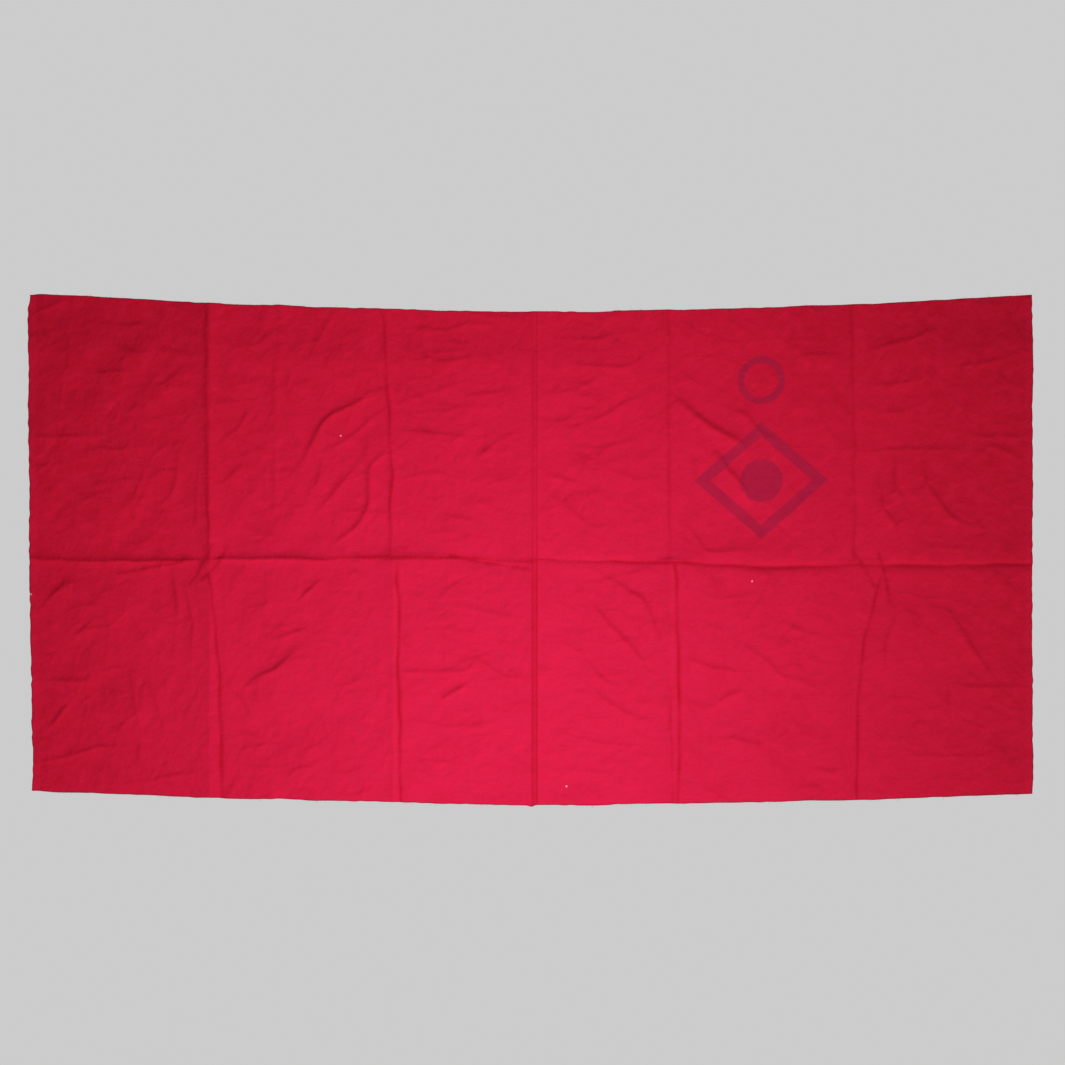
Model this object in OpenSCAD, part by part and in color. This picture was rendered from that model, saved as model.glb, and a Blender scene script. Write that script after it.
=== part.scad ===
// Rectangular two-width cotton flag, hanging flat from the two top corners and the top centre.
// +Z is up, +X runs towards the hoist edge, and the face that the viewer sees looks along -Y.
// The origin is the top edge at the centre seam. All sizes are in millimetres.
// The one cloth is drawn as twelve panels, because it bends along its pressed creases.

/* [Cloth] */
// Width from the fly edge to the hoist edge
flag_width = 1600; // [1200:10:2000]
// Height of the cloth at the centre seam
cloth_height = 788; // [640:4:960]
// Thickness of one layer of cloth
cloth_thickness = 0.5; // [0.3:0.05:0.7]
// How far the middle of the top edge hangs below the corners
top_sag = 29; // [0:1:60]
// How far the middle of the bottom edge hangs below the corners
bottom_sag = 21; // [0:1:60]

/* [Pressed creases] */
// Height from the top edge to the level crease, at the centre seam
crease_drop = 397; // [350:1:450]
// Width of the panel next to the centre seam, on each side
inner_width = 221; // [200:1:240]
// Width of the middle panel, on each side
middle_width = 293; // [270:1:310]
// Open gap between neighbouring panels, where the cloth bends
panel_gap = 0.4; // [0.3:0.05:0.6]

/* [Hems and seam] */
// Width of the hem turned along the fly and hoist edges
hem_width = 12; // [8:0.5:20]
// Layers of cloth that a hem adds behind the flag
hem_layers = 2; // [1:1:2]
// Width of the felled seam that joins the two widths of cloth
seam_width = 10; // [6:0.5:16]
// Distance from a stitched edge to the thread
stitch_inset = 1.5; // [1:0.1:2.5]
// Width of a run of thread
thread_width = 0.6; // [0.3:0.1:0.8]
// How far a run of thread stands out of the cloth
thread_height = 0.12; // [0.08:0.02:0.16]

/* [Print on the far side] */
// Distance from the centre seam to the middle of the print
print_from_seam = 367; // [340:1:380]
// Width of the lozenge
lozenge_width = 214; // [160:2:230]
// Height of the lozenge
lozenge_height = 184; // [140:2:190]
// Width of the lozenge's line
lozenge_line = 17; // [10:1:24]
// Distance from the top edge down to the middle of the lozenge
lozenge_drop = 272; // [260:1:290]
// Diameter of the disc in the lozenge
disc_diameter = 68; // [40:1:80]
// Outer diameter of the ring above the lozenge
ring_diameter = 76; // [50:1:90]
// Width of the ring's line
ring_line = 11; // [6:1:16]
// Distance from the top edge down to the middle of the ring
ring_drop = 114; // [100:1:120]
// Thickness of the printed paint
print_thickness = 0.1; // [0.05:0.01:0.15]

/* [Hidden] */
UPPER = true;
LOWER = false;
half_width = flag_width / 2;
outer_crease = inner_width + middle_width;
// The cloth's own faces, and the faces behind its seam and hems
front_face = -cloth_thickness / 2;
back_face = cloth_thickness / 2;
seam_back = back_face + cloth_thickness;
hem_back = back_face + hem_layers * cloth_thickness;
// Longest straight piece of the sagging edges
edge_step = 25;
cloth_red = [0.76, 0.09, 0.21];
hem_red = [0.68, 0.07, 0.18];
thread_red = [0.52, 0.04, 0.12];
paint_yellow = [0.89, 0.66, 0.13];
$fn = 96;

// Height of the top and bottom edges at a distance x from the centre seam
function top_edge(x) = top_sag * pow(x / half_width, 2);
function bottom_edge(x) = bottom_sag * pow(x / half_width, 2) - cloth_height;

// Points along a sagging edge, from a to b
function edge_points(a, b, upper) =
    let (steps = ceil(abs(b - a) / edge_step))
    [for (i = [0 : steps]) let (x = a + (b - a) * i / steps) [x, upper ? top_edge(x) : bottom_edge(x)]];

// Stands a flat outline up in the hanging plane, from the depth y on and as thick as stated
module upright(y, thick)
    translate([0, y + thick, 0])
        rotate([90, 0, 0])
            linear_extrude(thick) children();

// A strip of the upper or lower half of the flag, between two distances from the centre seam
module strip(left, right, upper, y, thick) {
    crease_side = upper ? panel_gap / 2 - crease_drop : -panel_gap / 2 - crease_drop;
    upright(y, thick)
        polygon(concat(
            edge_points(left, right, upper),
            [[right, crease_side], [left, crease_side]]
        ));
}

// One layer of cloth between two creases, or between a crease and the flag's own edge
module panel(left, right, upper) {
    left_gap = left > -half_width ? panel_gap / 2 : 0;
    right_gap = right < half_width ? panel_gap / 2 : 0;
    color(cloth_red) strip(left + left_gap, right - right_gap, upper, front_face, cloth_thickness);
}

// The turned edge behind the cloth, between two distances from the seam
module hem(left, right, upper)
    color(hem_red) strip(left, right, upper, back_face, hem_layers * cloth_thickness);

// One line of sewing centred on x, with thread on the front and on the back of the layers
module sewing(x, upper, back)
    for (y = [front_face - thread_height, back])
        strip(x - thread_width / 2, x + thread_width / 2, upper, y, thread_height);

// The felled seam starts at the centre crease and lies behind the first panel of the hoist side
module felled_seam(upper)
    color(hem_red) strip(panel_gap / 2, seam_width, upper, back_face, cloth_thickness);

module seam_sewing(upper)
    color(thread_red)
        for (x = [stitch_inset, seam_width - stitch_inset])
            sewing(x, upper, seam_back);

// side is -1 at the fly edge and 1 at the hoist edge
module hem_sewing(side, upper)
    color(thread_red) sewing(side * (half_width - hem_width + stitch_inset), upper, hem_back);

module lozenge(width, height)
    polygon([[-width / 2, 0], [0, -height / 2], [width / 2, 0], [0, height / 2]]);

// Puts a printed shape on the far side, at a distance below the top edge
module printed(drop)
    color(paint_yellow)
        translate([print_from_seam, 0, -drop])
            upright(back_face, print_thickness) children();

module fly_outer_upper_panel() panel(-half_width, -outer_crease, UPPER);
module fly_outer_lower_panel() panel(-half_width, -outer_crease, LOWER);
module fly_middle_upper_panel() panel(-outer_crease, -inner_width, UPPER);
module fly_middle_lower_panel() panel(-outer_crease, -inner_width, LOWER);
module fly_inner_upper_panel() panel(-inner_width, 0, UPPER);
module fly_inner_lower_panel() panel(-inner_width, 0, LOWER);
module hoist_inner_upper_panel() panel(0, inner_width, UPPER);
module hoist_inner_lower_panel() panel(0, inner_width, LOWER);
module hoist_middle_upper_panel() panel(inner_width, outer_crease, UPPER);
module hoist_middle_lower_panel() panel(inner_width, outer_crease, LOWER);
module hoist_outer_upper_panel() panel(outer_crease, half_width, UPPER);
module hoist_outer_lower_panel() panel(outer_crease, half_width, LOWER);

module centre_seam_upper() felled_seam(UPPER);
module centre_seam_lower() felled_seam(LOWER);
module centre_seam_stitching_upper() seam_sewing(UPPER);
module centre_seam_stitching_lower() seam_sewing(LOWER);

module fly_hem_upper() hem(-half_width, hem_width - half_width, UPPER);
module fly_hem_lower() hem(-half_width, hem_width - half_width, LOWER);
module fly_hem_stitching_upper() hem_sewing(-1, UPPER);
module fly_hem_stitching_lower() hem_sewing(-1, LOWER);
module hoist_hem_upper() hem(half_width - hem_width, half_width, UPPER);
module hoist_hem_lower() hem(half_width - hem_width, half_width, LOWER);
module hoist_hem_stitching_upper() hem_sewing(1, UPPER);
module hoist_hem_stitching_lower() hem_sewing(1, LOWER);

module lozenge_print()
    printed(lozenge_drop)
        difference() {
            lozenge(lozenge_width, lozenge_height);
            // A line of even width takes the same share off both diagonals
            inner_share = 1 - 2 * lozenge_line * norm([lozenge_width, lozenge_height])
                / (lozenge_width * lozenge_height);
            lozenge(lozenge_width * inner_share, lozenge_height * inner_share);
        }

module disc_print()
    printed(lozenge_drop) circle(d = disc_diameter);

module ring_print()
    printed(ring_drop)
        difference() {
            circle(d = ring_diameter);
            circle(d = ring_diameter - 2 * ring_line);
        }

fly_outer_upper_panel();
fly_outer_lower_panel();
fly_middle_upper_panel();
fly_middle_lower_panel();
fly_inner_upper_panel();
fly_inner_lower_panel();
hoist_inner_upper_panel();
hoist_inner_lower_panel();
hoist_middle_upper_panel();
hoist_middle_lower_panel();
hoist_outer_upper_panel();
hoist_outer_lower_panel();
centre_seam_upper();
centre_seam_lower();
centre_seam_stitching_upper();
centre_seam_stitching_lower();
fly_hem_upper();
fly_hem_lower();
fly_hem_stitching_upper();
fly_hem_stitching_lower();
hoist_hem_upper();
hoist_hem_lower();
hoist_hem_stitching_upper();
hoist_hem_stitching_lower();
lozenge_print();
disc_print();
ring_print();
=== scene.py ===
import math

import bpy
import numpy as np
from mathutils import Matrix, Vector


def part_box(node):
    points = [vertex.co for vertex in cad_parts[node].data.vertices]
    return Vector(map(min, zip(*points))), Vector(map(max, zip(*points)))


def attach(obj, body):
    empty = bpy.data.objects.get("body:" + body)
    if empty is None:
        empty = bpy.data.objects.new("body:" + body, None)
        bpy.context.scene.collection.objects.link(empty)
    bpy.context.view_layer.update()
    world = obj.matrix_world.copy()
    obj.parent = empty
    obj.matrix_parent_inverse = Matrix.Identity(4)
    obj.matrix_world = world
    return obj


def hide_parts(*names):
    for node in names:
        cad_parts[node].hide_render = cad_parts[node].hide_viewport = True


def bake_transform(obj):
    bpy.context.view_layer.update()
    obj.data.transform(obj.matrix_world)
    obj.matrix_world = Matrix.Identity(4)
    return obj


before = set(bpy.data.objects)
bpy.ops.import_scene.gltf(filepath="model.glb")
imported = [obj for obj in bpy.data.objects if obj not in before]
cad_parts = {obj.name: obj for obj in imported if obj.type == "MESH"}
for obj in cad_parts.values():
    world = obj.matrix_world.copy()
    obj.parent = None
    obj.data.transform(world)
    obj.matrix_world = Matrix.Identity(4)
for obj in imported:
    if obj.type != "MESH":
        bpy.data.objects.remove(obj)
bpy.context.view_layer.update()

# A red cotton flag hanging flat by its top edge, crumpled from being folded and stored.
# The cloth is worked out as one continuous surface, then cut into the twelve panels of the frame.
# "across" and "up" are places on the cloth laid flat, in metres, from the top of the centre seam.

MM = 0.001
CM = 0.01

# ---------------------------------------------------------------- sizes, from the frame

COLUMNS = ["fly_outer", "fly_middle", "fly_inner", "hoist_inner", "hoist_middle", "hoist_outer"]
ROWS = ["lower", "upper"]
ROOT_PANEL = "hoist_inner_upper"


def middle_of(node):
    """The centre of a CAD node, across and up, and half its width and height."""
    low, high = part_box(node)
    return (low.x + high.x) / 2, (low.z + high.z) / 2, (high.x - low.x) / 2, (high.z - low.z) / 2


def border_between(left, right):
    return (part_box(f"{left}_upper_panel")[1].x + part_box(f"{right}_upper_panel")[0].x) / 2


FLY_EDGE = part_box("fly_outer_upper_panel")[0].x
HOIST_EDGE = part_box("hoist_outer_upper_panel")[1].x
INNER_BORDERS = [border_between(left, right) for left, right in zip(COLUMNS, COLUMNS[1:])]
COLUMN_BORDERS = [FLY_EDGE, *INNER_BORDERS, HOIST_EDGE]
FOLDING_BACK = INNER_BORDERS[::2]  # the other two fold to the front
CREASE = (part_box("hoist_inner_upper_panel")[0].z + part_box("hoist_inner_lower_panel")[1].z) / 2
TOP = 0.0
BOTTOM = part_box("centre_seam_lower")[0].z
ROW_BORDERS = [BOTTOM, CREASE, TOP]
CLOTH_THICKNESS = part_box("hoist_inner_upper_panel")[1].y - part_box("hoist_inner_upper_panel")[0].y

# How much higher an edge hangs at the left and at the right corner than in the middle, each with
# the power of its curve.
TOP_RISE = [(30 * MM, 1.7), (27 * MM, 2.0)]
BOTTOM_RISE = [(22 * MM, 1.35), (18 * MM, 1.9)]
FLY_EDGE_LEAN = 9 * MM  # the left edge is further out at the top than at the bottom
FLY_EDGE_PIVOT = 0.6  # the share of the height at which it is where the frame says
EDGE_WOBBLE = 1.1 * MM
LEVEL_EDGE_POWER = 8  # a wobble stays closer to its edge the higher this is
UPRIGHT_EDGE_POWER = 60
PULLED_CORNER = (5 * MM, -4 * MM)  # how far the top left corner is pulled, across and up
PULLED_CORNER_REACH = 18 * MM

SEAM_STEP = 1.0 * MM
SEAM_GROOVE_DEPTH = 0.18 * MM  # along each row of stitches
SEAM_GROOVE_WIDTH = 1.1 * MM
SEAM_POINT = 2.5 * MM  # the seam's lower end hangs below the edge beside it
SEAM_POINT_WIDTH = 5 * MM
HALF_THREAD = middle_of("fly_hem_stitching_upper")[2]
SEAM_ROWS = [
    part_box("centre_seam_stitching_upper")[0].x + HALF_THREAD,
    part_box("centre_seam_stitching_upper")[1].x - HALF_THREAD,
]
HEM_WIDTH = 2 * middle_of("fly_hem_upper")[2]
LOZENGE_LINE = 17 * MM
RING_LINE = 11 * MM

GRID_SPACING = 2.2 * MM
FOLD_LINES = np.array([0.0, 1.0, 2.1, 3.4, 4.9, 6.6]) * MM  # closer lines where the cloth folds
FOLD_REACH = 8 * MM  # cloth on each side of a joint that the loose fibres at the edges keep clear of

# ---------------------------------------------------------------- folds seen in the photo

# Each fold is its strength from 1 to 4, then the points it runs through on the hanging flag, in
# centimetres: across from the centre seam and up from the seam's top end.
FOLDS = [
    # fly_outer_upper
    (2, (-66.5, -2), (-64, -2.5), (-61, -1.5)),
    (1, (-59.5, -6), (-54, -7)),
    (2, (-71, -10), (-64, -9.5)),
    (1, (-61.5, -11.5), (-53, -12.5)),
    (2, (-79.5, -20), (-69, -20)),
    (2, (-69.5, -22), (-64.5, -22), (-63.5, -19.5)),
    (1, (-79, -25), (-73, -24)),
    (2, (-56.5, -21.5), (-56.5, -26), (-57.5, -29.5), (-59.5, -31)),
    (1, (-61.5, -25), (-63.5, -30), (-65, -32)),
    (3, (-53.5, -27), (-53.5, -35)),
    (2, (-80.5, -1.2), (-77, 0.6), (-73.5, 2.2)),
    (1, (-77, -6), (-74.5, -11), (-75, -17.5)),
    (1, (-75, -30), (-70.5, -33.5), (-64, -36.5)),
    (1, (-78.5, -33.5), (-73.5, -36.5)),
    # fly_middle_upper
    (2, (-45, -15.5), (-46.5, -18.5), (-50.5, -21.5)),
    (1, (-46.5, -20.5), (-41.5, -23)),
    (2, (-46, -24), (-48, -26.5), (-51, -28)),
    (2, (-52, -2), (-46.5, 0.5)),
    (1, (-49, -6), (-43.5, -5.5), (-41.5, -2.5)),
    (2, (-31.5, 0), (-33, -2.5), (-34.5, -6)),
    (3, (-36.5, -24), (-33.5, -18), (-32, -16.5), (-27.5, -14.5), (-26, -13), (-24, -12.5)),
    (2, (-33.5, -22.5), (-30.5, -21), (-28, -19.5), (-25.5, -17), (-23, -15.5)),
    (2, (-35.5, -28.5), (-34, -27.5), (-33.5, -23.5)),
    (2, (-35, -33), (-32, -29.5), (-29.5, -26.5), (-27, -23.5)),
    (3, (-32.5, -38), (-30, -36), (-27.5, -34), (-26, -31), (-26, -25), (-22.5, -21.5)),
    (1, (-41, -8), (-41, -16.5)),
    (1, (-41, -21.5), (-41, -33)),
    (1, (-48, -31.5), (-45, -35), (-38.5, -36.5)),
    (1, (-48, -12), (-43, -11)),
    # fly_inner_upper
    (2, (-22.5, -2.5), (-13.5, -3), (-10.5, -2), (-5, -2)),
    (1, (-22, -15), (-16, -13), (-10, -11)),
    (1, (-22, -16.5), (-15, -16), (-8, -15)),
    (2, (-21, -19), (-10.5, -20)),
    (2, (-9, -23.5), (-5, -20.5)),
    (1, (-7.5, -28), (-2, -26)),
    (2, (-14.5, -32.5), (-9, -33.5)),
    (1, (-17.5, -35.5), (-11, -35)),
    (1, (-21, -6), (-14.5, -8), (-6.5, -7)),
    (1, (-21.5, -27), (-16, -25.5), (-12.5, -26.5)),
    (1, (-10, -30), (-4, -32)),
    (1, (-10, -13.5), (-2, -12.5)),
    (2, (-6.5, -0.5), (-3, -1), (0, -1.6)),
    (2, (-5, 0.2), (-0.5, -0.8)),
    # hoist_inner_upper
    (2, (6.5, -8.5), (15, -9), (19, -6.5)),
    (2, (8.5, -18), (12, -16.5), (15, -14.5), (18, -13.5)),
    (1, (7, -21.5), (10.5, -22), (17, -20.5)),
    (2, (2, -26), (8, -27.5)),
    (2, (5.5, -31), (9.5, -34.5), (11.5, -34.5)),
    (1, (2, -4), (9.5, -4.5), (17.5, -3)),
    (1, (2.5, -13.5), (7, -12.5), (11, -10.5)),
    (1, (12.5, -25.5), (17.5, -27), (21, -26.5)),
    (1, (14, -30), (19.5, -32.5)),
    # hoist_middle_upper
    (2, (23.5, -9.5), (27.5, -12)),
    (4, (22.5, -13.5), (25, -15.5), (28, -18), (30.5, -19.5), (33.5, -21), (34.5, -23)),
    (4, (29, -22), (31, -25), (33, -27), (35.5, -31)),
    (3, (31, -15.5), (34.5, -16.5), (36.5, -19.5), (39.5, -21)),
    (3, (24, -33.5), (26, -35.5), (28, -38.5), (35.5, -38)),
    (1, (45.5, 0.5), (48, -3)),
    (2, (43, -7), (49.5, -7)),
    (2, (46, -15.5), (46, -17), (48, -20), (51.5, -22)),
    (1, (25.5, -3), (31.5, -5), (38, -4.5)),
    (1, (39, -25.5), (43, -30), (44.5, -35)),
    (1, (25.5, -24), (27, -28.5)),
    (1, (38, -33.5), (43, -37.5)),
    (1, (43, -24), (49, -27)),
    # hoist_outer_upper
    (2, (52.5, -6.5), (56.5, -5.5), (60.5, -4.5), (65.5, -2.5)),
    (2, (54, -12), (59, -11.5), (63.5, -10.5)),
    (2, (67, -9), (73.5, -8), (77.5, -7)),
    (1, (72.5, -9), (73, -15.5)),
    (2, (74, -9.5), (76, -11.5), (79, -12.5)),
    (2, (69.5, -18), (70.5, -20), (80, -20)),
    (2, (52, -22.5), (59, -22), (69, -22)),
    (2, (72, -21.5), (75.5, -22), (79, -24.5)),
    (3, (54.5, -26.5), (56, -28.5), (56, -31.5), (58, -34), (59, -37.5)),
    (3, (58, -23.5), (58, -28), (59.5, -30.5)),
    (3, (62.5, -23.5), (63, -27.5), (65.5, -31), (67, -33), (70.5, -34.5)),
    (2, (63.5, -37.5), (70.5, -38)),
    (2, (75, 1.6), (77, -2), (78.6, -5), (79.5, -8)),
    (1, (71.5, -28.5), (76.5, -31.5), (79, -36.5)),
    (1, (54, -16.5), (59, -16), (63.5, -14.5)),
    # fly_outer_lower
    (2, (-78.5, -47.5), (-75.5, -44.5), (-73.5, -42.5)),
    (2, (-73, -52), (-69.5, -49)),
    (2, (-64.5, -48), (-62.5, -51), (-60.5, -55)),
    (3, (-57.5, -41), (-56.5, -46.5), (-56.5, -49.5)),
    (3, (-55.5, -43), (-54, -50), (-54.5, -55.5)),
    (1, (-57, -50.5), (-57, -57)),
    (2, (-78.5, -59), (-69.5, -59)),
    (1, (-68, -57), (-64.5, -57)),
    (2, (-55.5, -65), (-54, -62), (-52, -59)),
    (2, (-77.5, -67), (-76, -65), (-73.5, -62)),
    (2, (-78.5, -72), (-74, -71), (-69.5, -69.5), (-64.5, -69.5)),
    (2, (-61.5, -75), (-57, -74), (-51, -73)),
    (1, (-69, -60.5), (-65.5, -65)),
    (1, (-64, -59), (-62.5, -67)),
    (1, (-61, -59), (-58.5, -67.5)),
    (1, (-52, -60.5), (-54.5, -68.5)),
    (1, (-67, -67.5), (-62.5, -63.5)),
    (1, (-75, -54), (-78.5, -52.5)),
    # fly_middle_lower
    (3, (-46, -60.5), (-44, -58.5), (-40.5, -57), (-37.5, -54)),
    (2, (-48.5, -60), (-46, -62), (-44.5, -65)),
    (2, (-37.5, -46.5), (-34, -43)),
    (2, (-41.5, -52.5), (-35.5, -50.5)),
    (1, (-25, -51), (-24, -55)),
    (1, (-32.5, -59), (-30.5, -60), (-27, -58.5)),
    (1, (-26.5, -67.5), (-23, -67)),
    (2, (-39, -74.5), (-37.5, -73), (-35, -72.5)),
    (1, (-24, -73.5), (-22.5, -69)),
    (1, (-48, -46), (-45, -47.5), (-39.5, -46)),
    (1, (-47.5, -52.5), (-44, -54)),
    (1, (-37, -62), (-33.5, -65), (-32, -69)),
    (1, (-47.5, -70), (-41.5, -69)),
    (1, (-33.5, -52.5), (-29, -54)),
    # fly_inner_lower
    (2, (-17.5, -57.5), (-10.5, -57.5), (-8.5, -55.5)),
    (2, (-8.5, -55.5), (-5.5, -57.5), (-4, -58.5), (-0.5, -58.5)),
    (3, (-14.5, -62), (-10, -59.3)),
    (1, (-15, -46.5), (-13, -44), (-9.5, -42)),
    (1, (-14.5, -51), (-11.5, -50)),
    (2, (-21, -57.5), (-17.5, -57.5)),
    (1, (-20.5, -52.5), (-18, -55)),
    (1, (-19.5, -65), (-13, -66.5), (-5, -65.5)),
    (1, (-18, -71.5), (-10, -72.5)),
    (1, (-10, -47.5), (-2, -49)),
    (1, (-6.5, -52.5), (-1, -53.5)),
    (1, (-20, -44.5), (-17, -46)),
    # hoist_inner_lower
    (3, (11, -42), (14, -43.5), (16, -45), (18, -46), (19.5, -49.5), (21, -53.5)),
    (3, (9.5, -46.5), (12.5, -50), (16, -53.5), (18.5, -57)),
    (2, (9.5, -56.5), (11.5, -59), (13.5, -60)),
    (2, (9.5, -60), (12.5, -62.5), (16, -64.5), (18.5, -65.5)),
    (1, (1, -57.5), (4.5, -57)),
    (1, (3, -46), (7.5, -48)),
    (1, (3.5, -67), (11, -69), (19, -69.5)),
    (1, (4.5, -52.5), (8.5, -55)),
    (1, (4.5, -73), (14, -74)),
    # hoist_middle_lower
    (2, (23.5, -55), (26.5, -56), (29, -57), (34, -57.5)),
    (2, (35, -54), (38, -56), (39.5, -58), (43, -59)),
    (2, (29.5, -62.5), (32, -61), (34.5, -60.5)),
    (2, (29.5, -68.5), (32, -68), (37, -69.5)),
    (1, (39.5, -49.5), (43, -51), (46.5, -52)),
    (1, (39.5, -58.5), (43.5, -59), (46.5, -61)),
    (1, (47.5, -62), (51.5, -58.5)),
    (2, (44.5, -73), (47.5, -73.5), (51, -72.5)),
    (1, (25.5, -44.5), (30, -46), (36.5, -45)),
    (1, (27, -49.5), (31.5, -51.5)),
    (1, (24.5, -62), (27, -67)),
    (1, (39.5, -65), (46, -67.5)),
    # hoist_outer_lower
    (2, (58, -49.5), (56.5, -53), (56.5, -57.5)),
    (1, (58, -60), (58.5, -66.5)),
    (2, (66, -58.5), (66.5, -61.5), (67, -67)),
    (1, (71, -64), (71.5, -70)),
    (3, (67, -48.5), (69, -51.5), (70.5, -54), (74, -59)),
    (2, (67.5, -58.5), (69, -60), (79, -60)),
    (1, (74, -62), (76.5, -63.5), (79, -64)),
    (2, (74, -41.5), (78, -45.5)),
    (1, (59, -71), (74.5, -71)),
    (1, (57, -44.5), (63.5, -46), (68.5, -45.5)),
    (1, (60.5, -52.5), (63.5, -57.5)),
    (1, (54, -62), (55.5, -68.5)),
    (1, (73, -49.5), (78.5, -52.5)),
]

# Creases pressed in by storage: how far each stands out (towards the viewer is positive), in
# millimetres, then its points in centimetres. The long ones wander a little from the joints they
# follow, and the short ones are where the long ones cross or split.
PRESSED_CREASES = [
    (2.4, (-52, 1.5), (-52, -11), (-52, -20.5), (-51.5, -39.5)),
    (-2.0, (-51.5, -42), (-50, -52), (-50, -59), (-49.5, -64.5), (-49.5, -69.5), (-49.5, -78.5)),
    (2.4, (-23.5, -0.5), (-23, -11), (-22.5, -20.5), (-22.5, -30), (-22.5, -39)),
    (-2.8, (-21.5, -40.5), (-21, -47.5), (-21.5, -55.5), (-21, -65), (-21, -79)),
    (0.9, (22, 0.5), (22, -39.5)),
    (-3.0, (23, -40.5), (23.5, -52.5), (23.5, -63), (23.5, -79.5)),
    (0.9, (22.2, -60), (22.4, -70), (22.4, -79.5)),
    (1.0, (51, 1.5), (51, -5.5), (51.5, -14), (51.5, -27.5), (51.5, -39.5)),
    (-2.8, (55.5, -42.5), (54.5, -48), (52.5, -53.5), (52, -58.5), (52, -68), (52, -78.5)),
    (3.6, (-80, -39.5), (-64.5, -40), (-46.5, -39.5), (-32, -39.5), (-18, -39), (-10, -39.5), (0, -40)),
    (-2.6, (0, -39.5), (11, -40), (20.5, -40), (27, -40.5), (43, -41), (59, -40.5), (79.5, -40.5)),
    (1.8, (-66, -42), (-62, -41), (-58, -40.5), (-54.5, -39.6)),
    (-1.8, (-54.5, -43.5), (-52.5, -41), (-51, -37.5)),
    (1.8, (-52.5, -43), (-50.5, -40.5), (-48.5, -38)),
    (-1.6, (-13, -39), (-8, -39.9), (-4, -40.8), (0, -41.4)),
    (1.8, (51.5, -38.5), (53.5, -41), (54.5, -44)),
    (-1.8, (55.5, -39), (57, -42), (57, -46)),
]
CREASE_WIDTH = 6 * MM
CREASE_LINE = 1.6 * MM  # the sharp line along the crest of a pressed crease
CREASE_WANDER = 1.3 * MM
CREASE_GROOVE = 0.35 * MM  # how deep that line is
CREASE_UNEVENNESS = 0.4
CREASE_LINE_UNEVENNESS = 0.5
CREASE_FADING = 0.1  # a crease keeps its height nearly to its ends
BESIDE_CREASE = 35 * MM  # the cloth beside an outward crease lies further back this far
BESIDE_CREASE_SHARE = 0.8  # by this share of the crease's height

FOLD_SHAPES = {  # strength: (height, width of the steep upper side, width of the gentle lower side)
    1: (0.75 * MM, 2.2 * MM, 4.2 * MM),
    2: (1.35 * MM, 2.8 * MM, 6 * MM),
    3: (2.7 * MM, 3.8 * MM, 10 * MM),
    4: (5.2 * MM, 5.5 * MM, 20 * MM),
}
GENTLE_SIDE = np.array([0.45, -0.89])  # folds lean this way: their gentle side is down and right
CREST_ROUNDING = 0.9 * MM
FOLD_FADING = 0.6
UNEVEN_PARTS = 14  # a crease changes its height this often along its length

# Soft waves of the whole cloth: height in millimetres, then one wave's width and height in metres,
# how many degrees it is turned, and the seed.
BROAD_WAVES = [(1.6, 0.24, 0.17, 12, 1), (1.0, 0.10, 0.08, -20, 2)]
SIDE_WAVES = [(0.9, 0.11, 0.034, 48, 7), (1.0, 0.11, 0.036, -42, 8), (0.7, 0.11, 0.028, 4, 9)]
SIDES_FROM = 0.15  # from the seam; nearer to it the waves lie level
SIDES_CHANGE = 0.12  # over this distance
CRUMPLES = [(0.4, 0.055, 25, 3), (0.28, 0.026, -15, 5)]  # height, size, turn and seed

SMALL_FOLD_COUNT = 1500
SMALL_FOLD_LENGTH = (1.5 * CM, 8 * CM)
SMALL_FOLD_HEIGHT = (0.10 * MM, 0.60 * MM)
SMALL_FOLD_SIDES = (2.1 * MM, 4.0 * MM)  # widths of the steep and of the gentle side
SMALL_FOLD_BEND = 0.2  # for each half length
LEVEL_FOLDS_WITHIN = 0.22  # of the seam the small folds run level
UPRIGHT_FOLDS_BEYOND = (-0.51, -0.55)  # towards the bottom left corner they run upright
FINE_CREASE_COUNT = 1500
FINE_CREASE_LENGTH = (1.5, 6)  # in centimetres
FINE_CREASE_HEIGHT = (0.08 * MM, 0.34 * MM)
FINE_CREASE_SIDES = (1.6 * MM, 3.4 * MM)
# How dark the painted shade along small folds, folds and pressed creases is
SMALL_FOLD_DARKNESS = 0.3 / MM  # for each metre of their height
FOLD_DARKNESS = 0.2  # for each step of their strength
MOST_CREASE_DARKNESS = 1.25  # of a crease 2 mm high or more

# ---------------------------------------------------------------- the grid the cloth is made on


def cloth_lines(start, end):
    """Grid lines from one border to the next, closer together at both ends."""
    inside = end - start - 2 * FOLD_LINES[-1]
    middle = np.linspace(
        start + FOLD_LINES[-1], end - FOLD_LINES[-1], round(inside / GRID_SPACING) + 1
    )
    return np.concatenate([start + FOLD_LINES[:-1], middle, end - FOLD_LINES[-2::-1]])


def lines_through(borders):
    """All grid lines, and where each border is among them."""
    parts = [cloth_lines(start, end) for start, end in zip(borders, borders[1:])]
    lines = np.concatenate([parts[0], *[part[1:] for part in parts[1:]]])
    return lines, [int(np.argmin(abs(lines - border))) for border in borders]


ACROSS_LINES, COLUMN_STARTS = lines_through(COLUMN_BORDERS)
UP_LINES, ROW_STARTS = lines_through(ROW_BORDERS)
ACROSS, UP = np.meshgrid(ACROSS_LINES, UP_LINES)


def ease(share):
    """0 to 1 with a smooth start and end."""
    share = np.clip(share, 0, 1)
    return share * share * (3 - 2 * share)


def spread_over(lattice, column, row):
    """Reads a coarse table of values smoothly at fractional columns and rows."""
    left, low = column.astype(int), row.astype(int)
    to_right, to_high = ease(column - left), ease(row - low)
    below = lattice[low, left] * (1 - to_right) + lattice[low, left + 1] * to_right
    above = lattice[low + 1, left] * (1 - to_right) + lattice[low + 1, left + 1] * to_right
    return below * (1 - to_high) + above * to_high


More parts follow.
